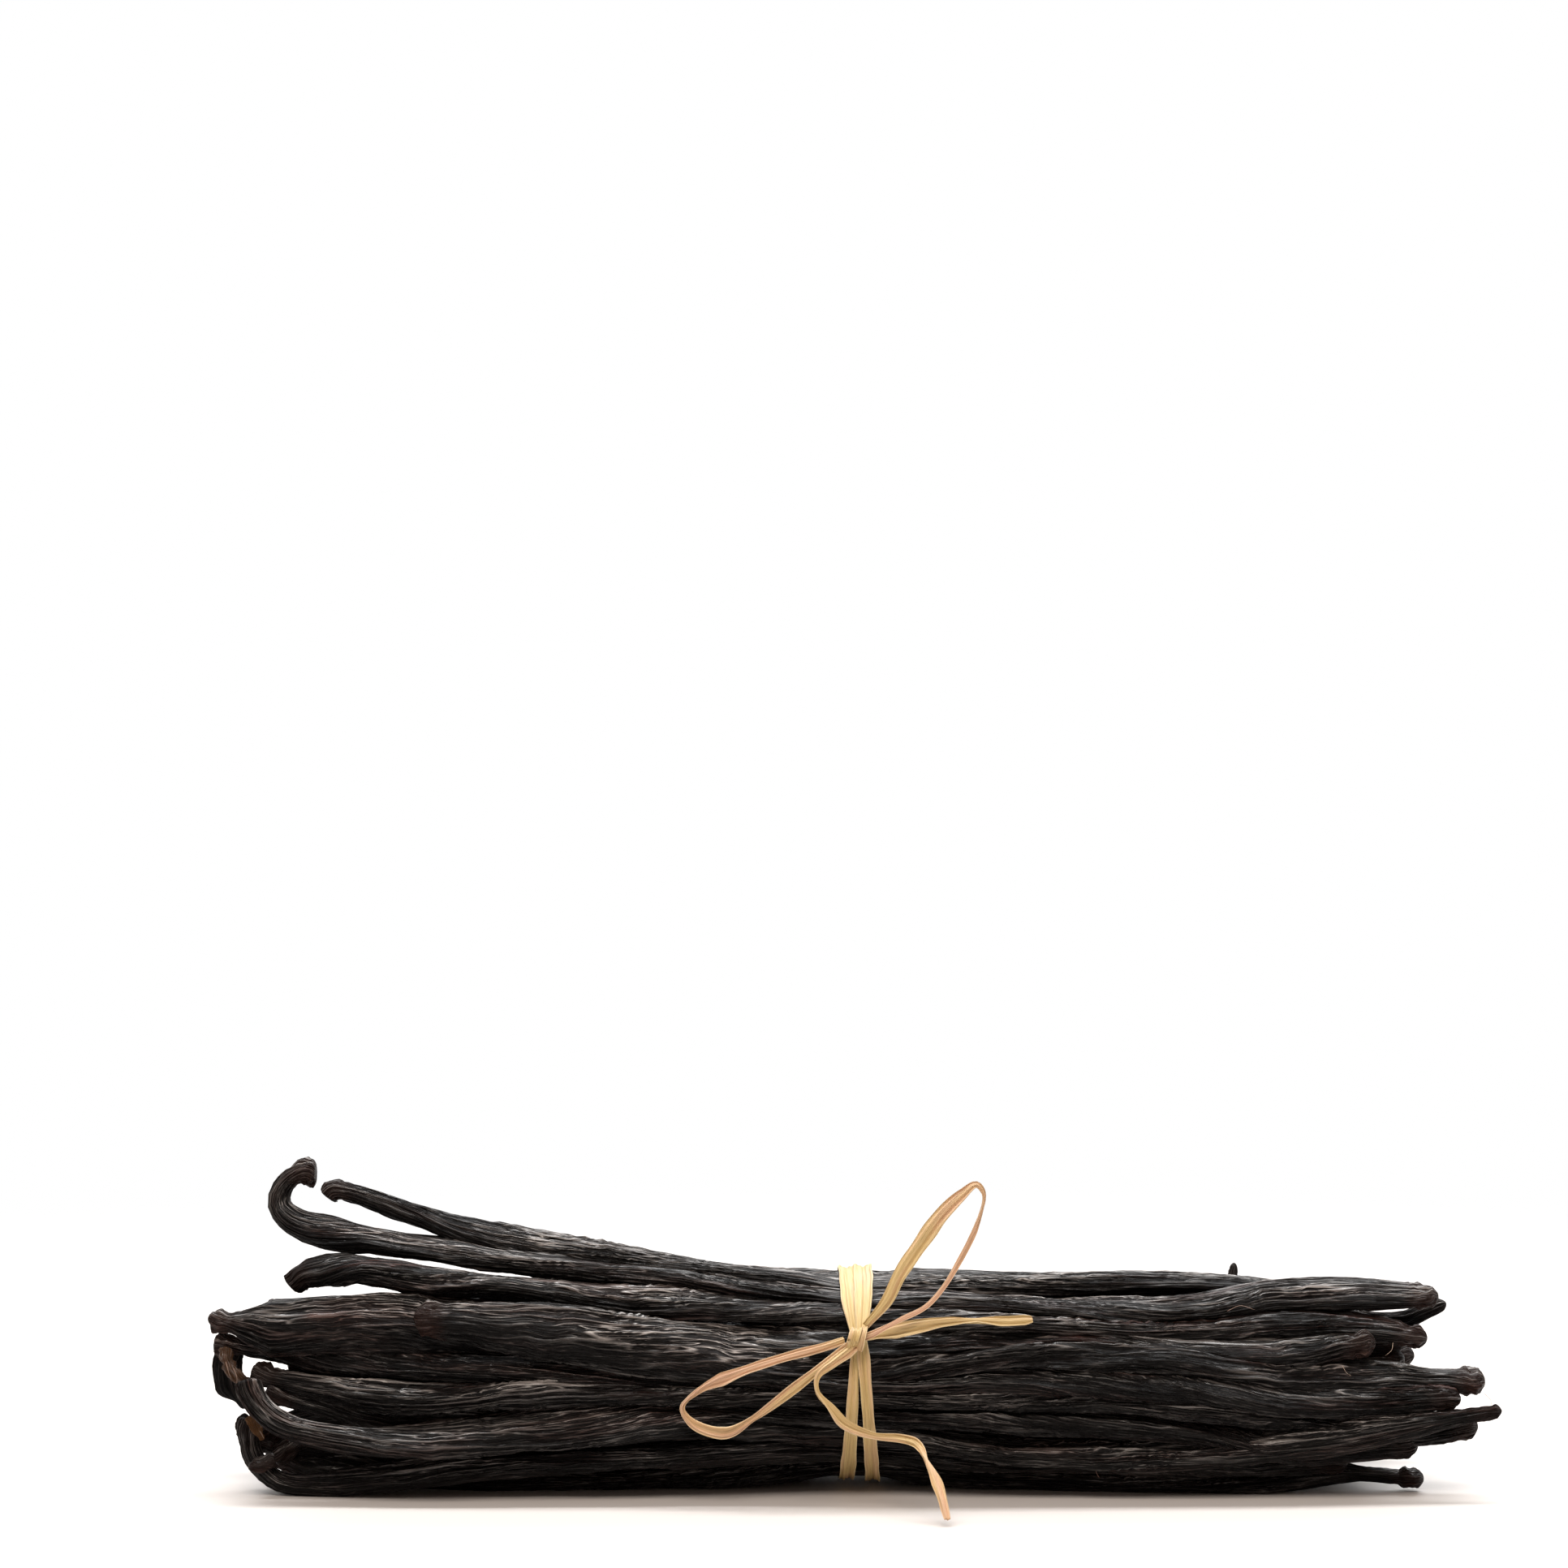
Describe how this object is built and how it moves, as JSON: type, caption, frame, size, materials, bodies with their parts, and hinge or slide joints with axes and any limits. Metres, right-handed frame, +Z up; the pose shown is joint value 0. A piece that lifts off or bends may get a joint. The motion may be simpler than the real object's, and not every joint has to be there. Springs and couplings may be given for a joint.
{
  "type": "bundle of vanilla pods",
  "caption": "Bundle of dried vanilla pods with curled stem ends, lying on its side and tied round the middle with a raffia bow.",
  "frame": {"origin": "on the floor under the middle of the bundle", "axes": "+X along the pods from their stem ends to their blossom ends, +Z up, and the raffia bow faces -Y"},
  "size_m": [0.187, 0.0559, 0.0466],
  "materials": {
    "vanilla_pod": "satin",
    "raffia": "satin"
  },
  "bodies": {
    "root": {"pod_bundle": "vanilla_pod", "raffia_wrap_left": "raffia", "raffia_wrap_right": "raffia", "raffia_knot": "raffia", "raffia_loop_upper": "raffia", "raffia_tail_right": "raffia", "raffia_loop_lower": "raffia", "raffia_tail_lower": "raffia"}
  },
  "joints": []
}
